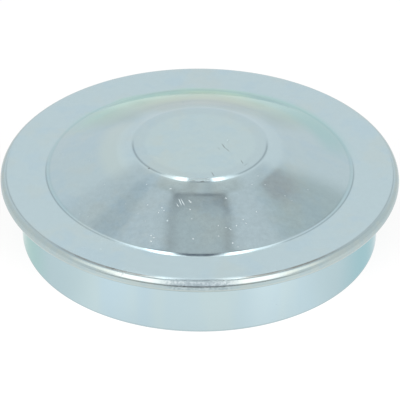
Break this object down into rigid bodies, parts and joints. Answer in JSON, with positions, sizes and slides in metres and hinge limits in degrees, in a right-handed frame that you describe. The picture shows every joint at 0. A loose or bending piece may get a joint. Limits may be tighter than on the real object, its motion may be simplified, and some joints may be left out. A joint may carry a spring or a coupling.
{
  "type": "hub grease cap",
  "caption": "Pressed sheet-steel grease cap with a closed coned centre, a flat flange hemmed back under itself, and an open pilot skirt that presses into a hub bore.",
  "frame": {"origin": "centre of the plane that the skirt's lower edge stands on", "axes": "+Z is the cap's axis, pointing out through the closed centre, away from the hub"},
  "size_m": [0.1, 0.1, 0.0252],
  "materials": {
    "plated_steel": "bright zinc plate with a blue passivate"
  },
  "bodies": {
    "root": {"grease_cap": "plated_steel"}
  },
  "joints": []
}
